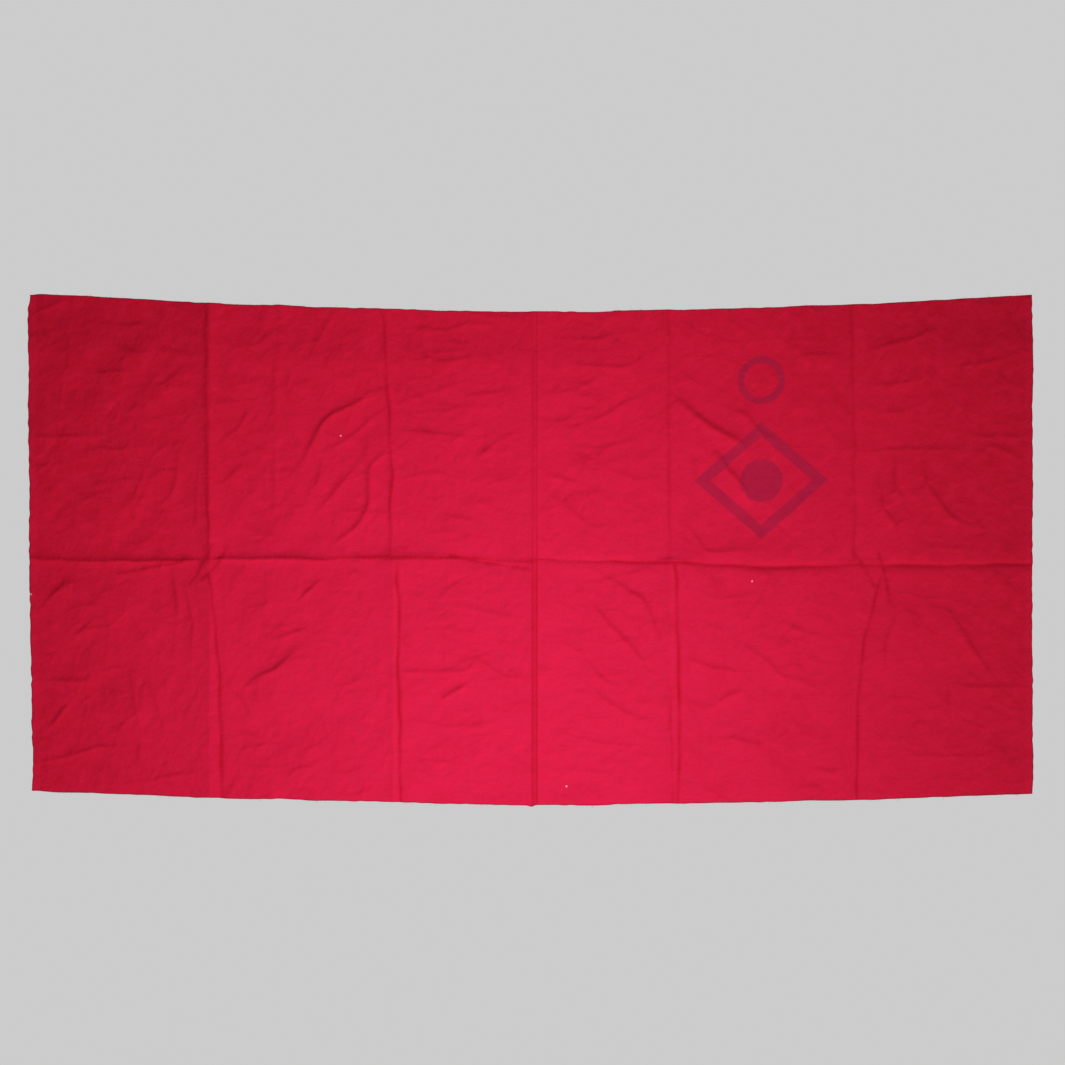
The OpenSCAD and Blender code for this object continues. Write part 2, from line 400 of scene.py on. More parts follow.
def bumps(width, height, turn_deg, seed):
    """Random smooth bumps from -1 to 1 over the cloth, of about this width and height."""
    turn = math.radians(turn_deg)
    column = (ACROSS * math.cos(turn) + UP * math.sin(turn)) / width
    row = (UP * math.cos(turn) - ACROSS * math.sin(turn)) / height
    column, row = column - column.min(), row - row.min()
    values = np.random.default_rng(seed).uniform(-1, 1, (int(row.max()) + 2, int(column.max()) + 2))
    return spread_over(values, column, row)


def crumple(size, turn_deg, seed):
    """Sharp-edged bumps of up to 1, like cloth that has been squeezed in a hand."""
    finer = bumps(size / 2, size / 2, turn_deg=31, seed=seed + 1)
    return 1 - abs(bumps(size, size, turn_deg, seed) + 0.5 * finer)


# ---------------------------------------------------------------- folds and creases


def edge_rise(across, rises):
    """How much higher the edge is here than at the centre seam."""
    share = abs(across) / HOIST_EDGE
    left, right = [rise * share**power for rise, power in rises]
    return np.where(across < 0, left, right)


def stretch_up(across, above_crease):
    """How much the hanging cloth is stretched upwards here, above or below the long crease."""
    top = TOP + edge_rise(across, TOP_RISE)
    bottom = BOTTOM + edge_rise(across, BOTTOM_RISE)
    above, below = (top - CREASE) / (TOP - CREASE), (bottom - CREASE) / (BOTTOM - CREASE)
    return np.where(above_crease, above, below)


def on_flat_cloth(points):
    """Points seen on the hanging flag, in centimetres, as places on the flat cloth in metres."""
    across, height = np.array(points).T * CM
    up = CREASE + (height - CREASE) / stretch_up(across, height > CREASE)
    return np.stack([across, up], -1)


def line_through(points, step=3 * MM):
    """Evenly spaced points along a softened line through these points."""
    points = np.array(points, float)
    reached = np.concatenate([[0], np.cumsum(np.hypot(*np.diff(points, axis=0).T))])
    places = np.linspace(0, reached[-1], max(int(reached[-1] / step), 4) + 1)
    line = np.stack([np.interp(places, reached, points[:, axis]) for axis in (0, 1)], 1)
    for _ in range(8):
        line[1:-1] = (line[:-2] + 2 * line[1:-1] + line[2:]) / 4
    return line


def grid_near(line, reach):
    """The rows and columns of the grid that come within reach of a line."""
    columns = np.flatnonzero(
        (ACROSS_LINES > line[:, 0].min() - reach) & (ACROSS_LINES < line[:, 0].max() + reach)
    )
    rows = np.flatnonzero((UP_LINES > line[:, 1].min() - reach) & (UP_LINES < line[:, 1].max() + reach))
    return np.ix_(rows, columns)


def gentle_directions(line):
    """For each point of a fold's line, a unit vector square to it, towards its gentle side."""
    direction = np.gradient(line, axis=0)
    side = np.stack([-direction[:, 1], direction[:, 0]], 1)
    side /= np.linalg.norm(side, axis=1, keepdims=True)
    return side * np.where(side @ GENTLE_SIDE < 0, -1, 1)[:, None]


def strength_along(count, fading, unevenness, seed):
    """The strength at each point of a fold's line: 1 in the middle and less at both ends."""
    share = np.linspace(0, 1, count)
    strength = np.sin(math.pi * np.clip(share, 0.02, 0.98)) ** fading
    if unevenness:
        knots = np.random.default_rng(seed).uniform(-1, 1, UNEVEN_PARTS)
        strength *= 1 + unevenness * np.interp(share, np.linspace(0, 1, UNEVEN_PARTS), knots)
    return strength


def add_fold(heights, points, height, steep, gentle, fading=FOLD_FADING, unevenness=0.0, seed=0):
    """Raises a fold along these points, steep on one side and gentle on the other."""
    line = line_through(points)
    window = grid_near(line, 4 * max(steep, gentle))
    aside, above = ACROSS[window][..., None] - line[:, 0], UP[window][..., None] - line[:, 1]
    squared = aside * aside + above * above
    nearest = squared.argmin(-1)
    distance = np.sqrt(squared.min(-1) + CREST_ROUNDING**2) - CREST_ROUNDING

    from_line = np.stack([ACROSS[window], UP[window]], -1) - line[nearest]
    to_gentle_side = (from_line * gentle_directions(line)[nearest]).sum(-1)
    width = steep + (gentle - steep) * ease(0.5 + to_gentle_side / (2 * steep))
    strength = strength_along(len(line), fading, unevenness, seed)[nearest]
    heights[window] += height * strength * np.exp(-distance / width)


def pressed_line(number, points):
    """The line of a pressed crease on the flat cloth, wandering a little as a real one does."""
    line = line_through(on_flat_cloth(points), 25 * MM)
    return line + np.random.default_rng(60 + number).normal(0, CREASE_WANDER, line.shape)


def small_fold_angle(across, up, rng):
    """The way small folds run, in radians: it changes from one part of the flag to another."""
    middle, spread = (0.7 if across < 0 else -0.7), 0.55
    if abs(across) < LEVEL_FOLDS_WITHIN:
        middle, spread = 0, 0.35
    elif across < UPRIGHT_FOLDS_BEYOND[0] and up < UPRIGHT_FOLDS_BEYOND[1]:
        middle, spread = 1.35, 0.35
    return rng.normal(middle, spread)


def add_small_folds(heights):
    """Hundreds of short faint folds between the larger ones."""
    rng = np.random.default_rng(21)
    for _ in range(SMALL_FOLD_COUNT):
        middle = np.array([rng.uniform(FLY_EDGE, HOIST_EDGE), rng.uniform(BOTTOM, TOP)])
        angle = small_fold_angle(*middle, rng)
        length = rng.uniform(*SMALL_FOLD_LENGTH)
        step = np.array([math.cos(angle), math.sin(angle)]) * length / 2
        bend = np.array([-step[1], step[0]]) * rng.normal(0, SMALL_FOLD_BEND)
        points = [middle - step, middle + bend, middle + step]
        add_fold(heights, points, rng.uniform(*SMALL_FOLD_HEIGHT), *SMALL_FOLD_SIDES)


def add_fine_creases(heights):
    """Fine creases that run with the yarns, upright or level."""
    rng = np.random.default_rng(22)
    for _ in range(FINE_CREASE_COUNT):
        start = np.array([rng.uniform(FLY_EDGE, HOIST_EDGE), rng.uniform(BOTTOM, TOP)])
        angle = rng.choice([0, math.pi / 2]) + rng.normal(0, 0.12)
        length = rng.uniform(*FINE_CREASE_LENGTH) * CM
        end = start + length * np.array([math.cos(angle), math.sin(angle)])
        add_fold(heights, [start, end], rng.uniform(*FINE_CREASE_HEIGHT), *FINE_CREASE_SIDES)


def small_fold_heights():
    heights = np.zeros_like(ACROSS)
    add_small_folds(heights)
    add_fine_creases(heights)
    return heights


SMALL_FOLDS = small_fold_heights()


def fold_heights():
    """How far each point stands out towards the viewer, in metres, before it is hung."""
    heights = np.zeros_like(ACROSS)
    for height, *wave in BROAD_WAVES:
        heights += height * MM * bumps(*wave)
    left, right = ease((-SIDES_FROM - ACROSS) / SIDES_CHANGE), ease((ACROSS - SIDES_FROM) / SIDES_CHANGE)
    for share, (height, *wave) in zip((left, right, 1 - left - right), SIDE_WAVES):
        heights += height * MM * share * bumps(*wave)
    for height, *crumpling in CRUMPLES:
        heights += height * MM * crumple(*crumpling)
    for strength, *points in FOLDS:
        add_fold(heights, on_flat_cloth(points), *FOLD_SHAPES[strength])
    return heights + SMALL_FOLDS


def crease_heights():
    """The same for the long creases pressed in along the joints."""
    heights = np.zeros_like(ACROSS)
    for number, (height, *points) in enumerate(PRESSED_CREASES):
        points = pressed_line(number, points)
        widths = CREASE_WIDTH, CREASE_WIDTH
        add_fold(heights, points, height * MM, *widths, CREASE_FADING, CREASE_UNEVENNESS, number)
        if height > 0:
            beside = -BESIDE_CREASE_SHARE * height * MM
            add_fold(heights, points, beside, BESIDE_CREASE, BESIDE_CREASE, CREASE_FADING)
    return heights - CREASE_GROOVE * CREASE_LINES


def crease_lines():
    """Up to 1 along the sharp lines of creases and folds, and 0 away from them; it sets their grooves and
    the painted shade along them.
    """
    lines = SMALL_FOLD_DARKNESS * SMALL_FOLDS
    widths = CREASE_LINE, CREASE_LINE
    for number, (height, *points) in enumerate(PRESSED_CREASES):
        strength = MOST_CREASE_DARKNESS * min(abs(height) / 2, 1)
        points = pressed_line(number, points)
        add_fold(lines, points, strength, *widths, CREASE_FADING, CREASE_LINE_UNEVENNESS, 50 + number)
    for strength, *points in FOLDS:
        add_fold(lines, on_flat_cloth(points), FOLD_DARKNESS * strength, *widths)
    return np.clip(lines, 0, 1)


CREASE_LINES = crease_lines()


def seam_heights():
    """The sewn seam stands out like a low step, with a groove along each row of stitches."""
    rising = ease((ACROSS + 2 * MM) / (10 * MM))
    falling = 1 - ease((ACROSS - 8.5 * MM) / (3 * MM))
    grooves = sum(np.exp(-(((ACROSS - line) / SEAM_GROOVE_WIDTH) ** 2)) for line in SEAM_ROWS)
    pucker = 1 + 0.5 * bumps(width=1, height=0.012, turn_deg=0, seed=41)
    higher_low_down = 0.55 + 0.45 * UP / BOTTOM
    return SEAM_STEP * (rising * falling) * higher_low_down - SEAM_GROOVE_DEPTH * grooves * pucker


def floor_under(depth, cell=0.07):
    """A smooth surface that lies just in front of the cloth everywhere."""
    column, row = (ACROSS - FLY_EDGE) / cell, (UP - BOTTOM) / cell
    shape = int(row.max()) + 2, int(column.max()) + 2
    lowest = np.full(shape, np.inf)
    np.minimum.at(lowest, (np.rint(row).astype(int), np.rint(column).astype(int)), depth)
    padded = np.pad(lowest, 1, mode="edge")
    padded[np.isinf(padded)] = np.min(depth)
    windows = np.lib.stride_tricks.sliding_window_view(padded, (3, 3))
    return spread_over(windows.min((-2, -1)), column, row)


def distance_from(borders):
    return np.min([abs(ACROSS - border) for border in borders], axis=0)


def full_away_from(distance, at_joint, reach):
    """Goes from this share at a joint to 1 at this reach from it."""
    return at_joint + (1 - at_joint) * ease(distance / reach)


def near_fold_borders():
    """1 well away from the joints and less near them, so that folded cloth has room to lie flat."""
    sideways = full_away_from(distance_from(FOLDING_BACK), at_joint=0.35, reach=0.06)
    upright = full_away_from(abs(UP - CREASE), at_joint=0.5, reach=0.05)
    return sideways * upright


# Room for the layer that folds against the cloth: it grows by these shares of the distance.
ROOM_AT_JOINT = 0.05 * MM
ROOM_BESIDE_JOINT = 0.11
ROOM_BESIDE_BACK_JOINT = 0.13
ROOM_ABOVE_CREASE = 0.3
MOST_ROOM = 9 * MM
FRONT_LIMIT = -0.1 * MM  # the cloth comes no further forward than this
FRONT_SOFTNESS = 0.15 * MM


def room_behind():
    """How far back the cloth can lie here without cutting into the layer that folds against it."""
    above_crease = np.maximum(UP - CREASE, 0)
    lower_panels = ROOM_BESIDE_JOINT * distance_from(INNER_BORDERS) + ROOM_ABOVE_CREASE * above_crease
    folding_back = ROOM_BESIDE_BACK_JOINT * distance_from(FOLDING_BACK)
    return ROOM_AT_JOINT + np.minimum(np.minimum(lower_panels, folding_back), MOST_ROOM)


def cloth_depth():
    """How far each point hangs behind the front plane of the flag, in metres."""
    depth = -fold_heights()
    depth = (depth - floor_under(depth)) * near_fold_borders()
    depth -= crease_heights() + seam_heights()
    room = room_behind()
    depth = room * np.tanh(depth / room)
    return FRONT_LIMIT + np.logaddexp(0, (depth - FRONT_LIMIT) / FRONT_SOFTNESS) * FRONT_SOFTNESS


# ---------------------------------------------------------------- the hanging shape


def hanging_heights(corner):
    """How high each point hangs: the edges rise to the corners and wobble a little."""
    height = CREASE + (UP - CREASE) * stretch_up(ACROSS, UP > CREASE)
    near_edge = (abs(UP - CREASE) / abs(CREASE)) ** LEVEL_EDGE_POWER
    height += EDGE_WOBBLE * near_edge * (bumps(0.05, 5, 0, 31) + 0.5 * bumps(0.012, 5, 0, 32))
    low_down = ease((CREASE - UP) / (CREASE - BOTTOM)) ** LEVEL_EDGE_POWER
    height -= SEAM_POINT * low_down * np.exp(-((ACROSS / SEAM_POINT_WIDTH) ** 2))
    return height + PULLED_CORNER[1] * corner


def hanging_places(corner):
    """How far across each point hangs: the left edge leans, and both upright edges wobble."""
    outward = ease((INNER_BORDERS[0] - ACROSS) / (INNER_BORDERS[0] - FLY_EDGE))
    place = ACROSS + outward * FLY_EDGE_LEAN * (UP / BOTTOM - FLY_EDGE_PIVOT)
    near_edge = (abs(ACROSS) / HOIST_EDGE) ** UPRIGHT_EDGE_POWER
    place += EDGE_WOBBLE * near_edge * (bumps(5, 0.06, 0, 33) + 0.9 * bumps(5, 0.009, 0, 34))
    return place + PULLED_CORNER[0] * corner


def hanging_points():
    """The middle of the cloth's thickness, as points in the frame."""
    corner = np.exp(-((ACROSS - FLY_EDGE) ** 2 + (UP - TOP) ** 2) / PULLED_CORNER_REACH**2)
    return np.stack([hanging_places(corner), cloth_depth(), hanging_heights(corner)], -1)


def back_directions(points):
    """Unit vectors out of the cloth's back."""
    along_across = np.gradient(points, ACROSS_LINES, axis=1)
    along_up = np.gradient(points, UP_LINES, axis=0)
    directions = -np.cross(along_across, along_up)
    return directions / np.linalg.norm(directions, axis=-1, keepdims=True)


POINTS = hanging_points()
BACKWARD = back_directions(POINTS)


def on_cloth(across, up, behind):
    """Points this far behind the middle of the cloth, at any places on it."""
    column = np.clip(np.searchsorted(ACROSS_LINES, across) - 1, 0, len(ACROSS_LINES) - 2)
    row = np.clip(np.searchsorted(UP_LINES, up) - 1, 0, len(UP_LINES) - 2)
    right = (across - ACROSS_LINES[column]) / np.diff(ACROSS_LINES)[column]
    high = (up - UP_LINES[row]) / np.diff(UP_LINES)[row]
    right, high = right[..., None], high[..., None]

    def read(values):
        below = values[row, column] * (1 - right) + values[row, column + 1] * right
        above = values[row + 1, column] * (1 - right) + values[row + 1, column + 1] * right
        return below * (1 - high) + above * high

    return read(POINTS) + read(BACKWARD) * np.asarray(behind)[..., None]


# ---------------------------------------------------------------- making pieces

PIECES_ON = {f"{column}_{row}": [] for row in ROWS for column in COLUMNS}


def new_object(name, data):
    thing = bpy.data.objects.new(name, data)
    bpy.context.scene.collection.objects.link(thing)
    return thing


def new_piece(name, vertices, faces, places, material):
    """A smooth mesh piece. Its map named cloth holds each vertex's place on the flat cloth."""
    mesh = bpy.data.meshes.new(name)
    mesh.from_pydata(vertices.tolist(), [], faces)
    mesh.update()
    layer = mesh.uv_layers.new(name="cloth")
    vertex_of_loop = np.zeros(len(mesh.loops), int)
    mesh.loops.foreach_get("vertex_index", vertex_of_loop)
    layer.data.foreach_set("uv", places[vertex_of_loop].astype(np.float32).ravel())
    mesh.polygons.foreach_set("use_smooth", np.ones(len(mesh.polygons), bool))
    mesh.materials.append(material)
    piece = new_object(name, mesh)
    return piece


def mark_crease_shade(piece, amounts):
    """Keeps how sharply the cloth is creased at each vertex, for the material to paint shade along the
    creases.
    """
    layer = piece.data.attributes.new("crease", "FLOAT", "POINT")
    layer.data.foreach_set("value", np.tile(amounts.ravel(), 2).astype(np.float32))


def closed_sheet(name, front, back, places, material):
    """A thin closed piece from two matching grids of points."""
    rows, columns = front.shape[:2]
    number = np.arange(rows * columns).reshape(rows, columns)
    quads = np.stack([number[:-1, :-1], number[:-1, 1:], number[1:, 1:], number[1:, :-1]], -1)
    quads = quads.reshape(-1, 4)
    behind = quads[:, ::-1] + rows * columns
    rim = np.concatenate([number[0, :-1], number[:-1, -1], number[-1, :0:-1], number[:0:-1, 0]])
    after = np.roll(rim, -1)
    sides = np.stack([after, rim, rim + rows * columns, after + rows * columns], -1)
    faces = np.concatenate([quads, behind, sides]).tolist()
    vertices = np.concatenate([front.reshape(-1, 3), back.reshape(-1, 3)])
    places = np.tile(places.reshape(-1, 2), (2, 1))
    return new_piece(name, vertices, faces, places, material)


def column_and_row(panel):
    return panel.rsplit("_", 1)


def rides_on(piece, panel):
    PIECES_ON[panel].append(piece)
    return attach(piece, panel)


def bends_from(piece, panel):
    """Lists a piece under its panel: a piece of the root panel rides on that panel's body, any other keeps
    its place with its transform baked in.
    """
    if panel == ROOT_PANEL:
        return rides_on(piece, panel)
    PIECES_ON[panel].append(piece)
    column, row = column_and_row(panel)
    if row == "lower":
        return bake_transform(piece)
    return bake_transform(piece)


def make_panel(panel, material):
    """One of the twelve panels of cloth, cut from the hanging surface along the grid."""
    column, row = column_and_row(panel)
    number, level = COLUMNS.index(column), ROWS.index(row)
    cut = np.s_[
        ROW_STARTS[level] : ROW_STARTS[level + 1] + 1,
        COLUMN_STARTS[number] : COLUMN_STARTS[number + 1] + 1,
    ]
    half = BACKWARD[cut] * CLOTH_THICKNESS / 2
    front, back = POINTS[cut] - half, POINTS[cut] + half
    places = np.stack([ACROSS[cut], UP[cut]], -1)
    piece = closed_sheet(f"{panel}_cloth", front, back, places, material)
    backward = BACKWARD[cut].reshape(-1, 3)
    outward = np.concatenate([-backward, backward])
    piece.data.normals_split_custom_set_from_vertices(outward.tolist())
    mark_crease_shade(piece, CREASE_LINES[cut])
    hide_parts(f"{panel}_panel")
    return bends_from(piece, panel)


def row_lines(row):
    level = ROWS.index(row)
    return UP_LINES[ROW_STARTS[level] : ROW_STARTS[level + 1] + 1]


# Across a strip: the places of its lines, and its thickness there, as shares of the whole.
STRIP_LINES = np.array([0, 0.02, 0.06, 0.14, 0.3, 0.5, 0.7, 0.86, 0.94, 0.98, 1])
STRIP_ROUNDNESS = np.array([0.2, 0.6, 0.9, 1, 1, 1, 1, 1, 0.9, 0.6, 0.2])
STRIP_SUNK = 0.1 * MM  # a strip starts this far inside the cloth


def make_strip(node, panel, left, right, layers, material):
    """A turned-over strip of cloth lying on the back, with rounded edges."""
    lines = row_lines(column_and_row(panel)[1])
    across, up = np.meshgrid(left + (right - left) * STRIP_LINES, lines)
    start = CLOTH_THICKNESS / 2
    ripples = 1 + 0.12 * np.sin(up * 900 + across * 400)
    thickness = layers * CLOTH_THICKNESS * STRIP_ROUNDNESS * ripples
    front = on_cloth(across, up, start - STRIP_SUNK)
    back = on_cloth(across, up, start + thickness)
    places = np.stack([across, up], -1)
    piece = closed_sheet(f"{node}_strip", front, back, places, material)
    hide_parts(node)
    return bends_from(piece, panel)


STITCH_LENGTH = 2.6 * MM
STITCH_PITCH = 3.3 * MM
THREAD_WIDTH = 0.7 * MM
THREAD_HEIGHT = 0.3 * MM
STITCH_SLANT = 0.08 * MM
STITCH_GAPS = (0.02 * MM, 0.05 * MM)  # between stitches and cloth, in front and behind
SPINDLE = [(-1, 0.3), (-0.75, 0.8), (-0.3, 1), (0.3, 1), (0.75, 0.8), (1, 0.3)]
SPINDLE_SIDES = 6


def stitches(lines, row, behind, rng):
    """Vertices, faces and places of rows of stitches along these lines, this far behind the cloth."""
    low, high = row_lines(row)[[0, -1]]
    middles = np.arange(low + STITCH_PITCH / 2, high, STITCH_PITCH)
    across, up = [part.ravel() for part in np.meshgrid(lines, middles)]
    slant = rng.normal(0, STITCH_SLANT, len(across))
    turn = np.linspace(0, 2 * math.pi, SPINDLE_SIDES, endpoint=False)
    reach, radius = np.array(SPINDLE).T
    side = radius[:, None] * np.cos(turn) * THREAD_WIDTH / 2
    out = radius[:, None] * np.sin(turn) * THREAD_HEIGHT / 2
    along = reach[:, None] * STITCH_LENGTH / 2 * np.ones(SPINDLE_SIDES)
    all_across = across[:, None, None] + side + slant[:, None, None] * reach[:, None]
    all_up = np.clip(up[:, None, None] + along, BOTTOM, TOP)
    points = on_cloth(all_across, all_up, behind + out)
    places = np.stack([all_across, all_up], -1)
    return points.reshape(-1, 3), spindle_faces(len(across)), places.reshape(-1, 2)


def spindle_faces(count):
    """Faces of this many closed spindles, one after another."""
    rings = len(SPINDLE)
    number = np.arange(rings * SPINDLE_SIDES).reshape(rings, SPINDLE_SIDES)
    beside = np.roll(number, -1, axis=1)
    quads = np.stack([number[:-1], beside[:-1], beside[1:], number[1:]], -1).reshape(-1, 4)
    faces = []
    for start in range(0, count * number.size, number.size):
        faces += (quads + start).tolist()
        faces += [(number[0, ::-1] + start).tolist(), (number[-1] + start).tolist()]
    return faces


def make_stitching(node, panel, lines, back_layers, material):
    """Rows of stitches that show on the front and on the back."""
    rng = np.random.default_rng(len(node))
    row = column_and_row(panel)[1]
    front = -CLOTH_THICKNESS / 2 - STITCH_GAPS[0]
    back = CLOTH_THICKNESS * (0.5 + back_layers) + STITCH_GAPS[1]
    vertices, faces, places = [], [], []
    for behind in (front, back):
        points, shapes, spots = stitches(lines, row, behind, rng)
        start = sum(len(part) for part in vertices)
        vertices.append(points)
        places.append(spots)
        faces += [[start + corner for corner in shape] for shape in shapes]
    vertices, places = np.concatenate(vertices), np.concatenate(places)
    piece = new_piece(f"{node}_thread", vertices, faces, places, material)
    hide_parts(node)
    return bends_from(piece, panel)


PRINT_DEPTHS = (0.02 * MM, 0.14 * MM)  # where a film of paint starts and ends behind the cloth
PINHOLE = 0.2 * MM  # the inner outline of a print that is filled


def make_print(node, outer, inner, material):
    """A film of paint on the back between two closed outlines on the cloth."""
    share = np.linspace(0, 1, 9)[:, None, None]
    places = outer * (1 - share) + inner * share
    across, up = places[..., 0], places[..., 1]
    front, back = [on_cloth(across, up, CLOTH_THICKNESS / 2 + depth) for depth in PRINT_DEPTHS]
    piece = closed_sheet(f"{node}_film", front, back, places, material)
    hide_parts(node)
    return rides_on(piece, "hoist_middle_upper")


def circle(centre_x, centre_z, radius, count=96):
    turn = np.linspace(0, 2 * math.pi, count + 1)
    return np.stack([centre_x + radius * np.cos(turn), centre_z + radius * np.sin(turn)], -1)


def lozenge(centre_x, centre_z, half_width, half_height, per_side=36):
    corners = np.array([(1, 0), (0, 1), (-1, 0), (0, -1), (1, 0)]) * (half_width, half_height)
    share = np.linspace(0, 4, 4 * per_side + 1)
    outline = np.stack([np.interp(share, range(5), corners[:, axis]) for axis in (0, 1)], -1)
    return outline + (centre_x, centre_z)


def lozenge_hole_share():
    """Size of the lozenge's hole as a share of its outline, for its line width."""
    _, _, half_width, half_height = middle_of("lozenge_print")
    to_side = half_width * half_height / math.hypot(half_width, half_height)
    return 1 - LOZENGE_LINE / to_side


def make_prints(material):
    """A lozenge with a disc in it, and a ring above them."""
    x, z, half_width, half_height = middle_of("lozenge_print")
    outline = lozenge(x, z, half_width, half_height)
    hole = (outline - (x, z)) * lozenge_hole_share() + (x, z)
    make_print("lozenge_print", outline, hole, material)
    x, z, radius, _ = middle_of("disc_print")
    make_print("disc_print", circle(x, z, radius), circle(x, z, PINHOLE), material)
    x, z, radius, _ = middle_of("ring_print")
    make_print("ring_print", circle(x, z, radius), circle(x, z, radius - RING_LINE), material)


FIBRE_RADIUS = 0.13 * MM
FIBRE_SPACING = 4 * MM
FIBRE_LENGTH = (0.5 * MM, 6 * MM)
FIBRE_SCALE = 0.8 * MM  # most fibres are about twice this long
FIBRE_ROOT = 0.6 * MM  # a fibre starts this far inside the edge


def make_frayed_edge(panel, material):
    """Short loose yarn ends standing out of the woven top or bottom edge of a panel."""
    column, row = column_and_row(panel)
    number = COLUMNS.index(column)
    left, right = COLUMN_BORDERS[number] + FOLD_REACH, COLUMN_BORDERS[number + 1] - FOLD_REACH
    edge, outward = (TOP, 1) if row == "upper" else (BOTTOM, -1)
    rng = np.random.default_rng(number + 10 * (row == "upper"))
    across = rng.uniform(left, right, int((right - left) / FIBRE_SPACING))
    length = rng.gamma(2.0, FIBRE_SCALE, len(across)).clip(*FIBRE_LENGTH)
    lean, curl = rng.normal(0, 0.5, (2, len(across)))
    share = np.linspace(0, 1, 6)
    sway = (lean[:, None] * share + curl[:, None] * share**2) * length[:, None]
    roots = on_cloth(across, np.full_like(across, edge), 0)
    reach = outward * (length[:, None] * share - FIBRE_ROOT)
    spine = roots[:, None, :] + np.stack([sway, 0.4 * sway[:, ::-1] * share, reach], -1)
    turn = np.linspace(0, 2 * math.pi, SPINDLE_SIDES, endpoint=False)
    taper = FIBRE_RADIUS * (1 - 0.5 * share)[:, None]
    ring = np.stack([taper * np.cos(turn), taper * np.sin(turn), np.zeros((6, SPINDLE_SIDES))], -1)
    vertices = (spine[:, :, None, :] + ring).reshape(-1, 3)
    places = np.stack([vertices[:, 0], vertices[:, 2]], -1)
    piece = new_piece(f"{panel}_fray", vertices, spindle_faces(len(across)), places, material)
    return rides_on(piece, panel)


KNOT_INSET = (6 * MM, 4 * MM)  # from the corner of the cloth
KNOT_BEHIND = -1.6 * MM  # it lies on the front
KNOT_SIZE = 0.9 * MM
KNOT_THREAD_RADIUS = 0.45 * MM


def make_corner_knot(material):
    """A small knot of thread left at the top hoist corner."""
    turn = np.linspace(0, 2 * math.pi, 64, endpoint=False)
    across = np.sin(turn) + 2 * np.sin(2 * turn)
    deep = np.cos(turn) - 2 * np.cos(2 * turn)
    knot = np.stack([across, deep, -np.sin(3 * turn)], -1)
    centre = on_cloth(HOIST_EDGE - KNOT_INSET[0], TOP - KNOT_INSET[1], KNOT_BEHIND)
    curve = bpy.data.curves.new("corner_knot", "CURVE")
    curve.dimensions = "3D"
    curve.bevel_depth = KNOT_THREAD_RADIUS
    spline = curve.splines.new("POLY")
    spline.points.add(len(knot) - 1)
    spline.use_cyclic_u = True
    for point, (x, y, z) in zip(spline.points, knot * KNOT_SIZE):
        point.co = (centre[0] + x, centre[1] + z, centre[2] + y, 1)
    piece = new_object("corner_knot", curve)
    curve.materials.append(material)
    return rides_on(piece, "hoist_outer_upper")


# ---------------------------------------------------------------- materials


class Nodes:
    """Short ways of adding nodes to a material or a world."""

    def __init__(self, owner):
        self.owner = owner
        owner.use_nodes = True
        self.tree = owner.node_tree

    def give(self, socket, value):
        """Links another node's output to a socket, or sets a plain value on it."""
        if isinstance(value, bpy.types.NodeSocket):
            self.tree.links.new(value, socket)
        else:
            socket.default_value = value

    def add(self, kind, inputs=(), **settings):
        node = self.tree.nodes.new(kind)
        for key, value in settings.items():
            setattr(node, key, value)
        for key, value in dict(inputs).items():
            self.give(node.inputs[key], value)
        return node

    def set(self, shader, **sockets):
        """Gives values to sockets of the named node, with _ for each space in a socket's name."""
        for name, value in sockets.items():
            self.give(self.tree.nodes[shader].inputs[name.replace("_", " ")], value)

    def math(self, operation, first, second=0.0, third=0.0):
        node = self.add("ShaderNodeMath", {0: first, 1: second, 2: third}, operation=operation)
        return node.outputs[0]

    def apart(self, first, second):
        """How far apart two values are."""
        return self.math("ABSOLUTE", self.math("SUBTRACT", first, second))

    def ramp(self, value, low, high, out_low=0.0, out_high=1.0, shape="SMOOTHSTEP"):
        """Takes value from low..high to out_low..out_high, smoothly."""
        inputs = {"Value": value, "From Min": low, "From Max": high, "To Min": out_low, "To Max": out_high}
        return self.add("ShaderNodeMapRange", inputs, interpolation_type=shape).outputs[0]

    def place(self):
        """The place on the flat cloth, as a vector and as its across and up parts."""
        vector = self.add("ShaderNodeUVMap", uv_map="cloth").outputs[0]
        parts = self.add("ShaderNodeSeparateXYZ", {0: vector})
        return vector, parts.outputs[0], parts.outputs[1]

    def noise(self, vector, scale, detail=2.0, roughness=0.5):
        inputs = {"Vector": vector, "Scale": scale, "Detail": detail, "Roughness": roughness}
        return self.add("ShaderNodeTexNoise", inputs).outputs[0]

    def uneven_yarns(self, vector, across_yarn, along_yarn):
        """Noise drawn out along the upright yarns and along the level ones, added up."""
        noises = []
        for scale in ((across_yarn, along_yarn, 1), (along_yarn, across_yarn, 1)):
            drawn_out = self.add("ShaderNodeVectorMath", {0: vector, 1: scale}, operation="MULTIPLY")
            noises.append(self.noise(drawn_out.outputs[0], 1))
        return self.math("ADD", *noises)

    def mixed(self, share, first, second):
        return self.add("ShaderNodeMix", {0: share, 6: first, 7: second}, data_type="RGBA").outputs[2]

    def tinted(self, colour, tint, value, low, high, at_low, at_high):
        """Mixes in a tint, by as much as this value says."""
        return self.mixed(self.ramp(value, low, high, at_low, at_high), colour, tint)

    def bump(self, height, distance, before=None):
        inputs = {"Height": height, "Distance": distance, "Strength": 1.0}
        if before is not None:
            inputs["Normal"] = before
        return self.add("ShaderNodeBump", inputs).outputs[0]


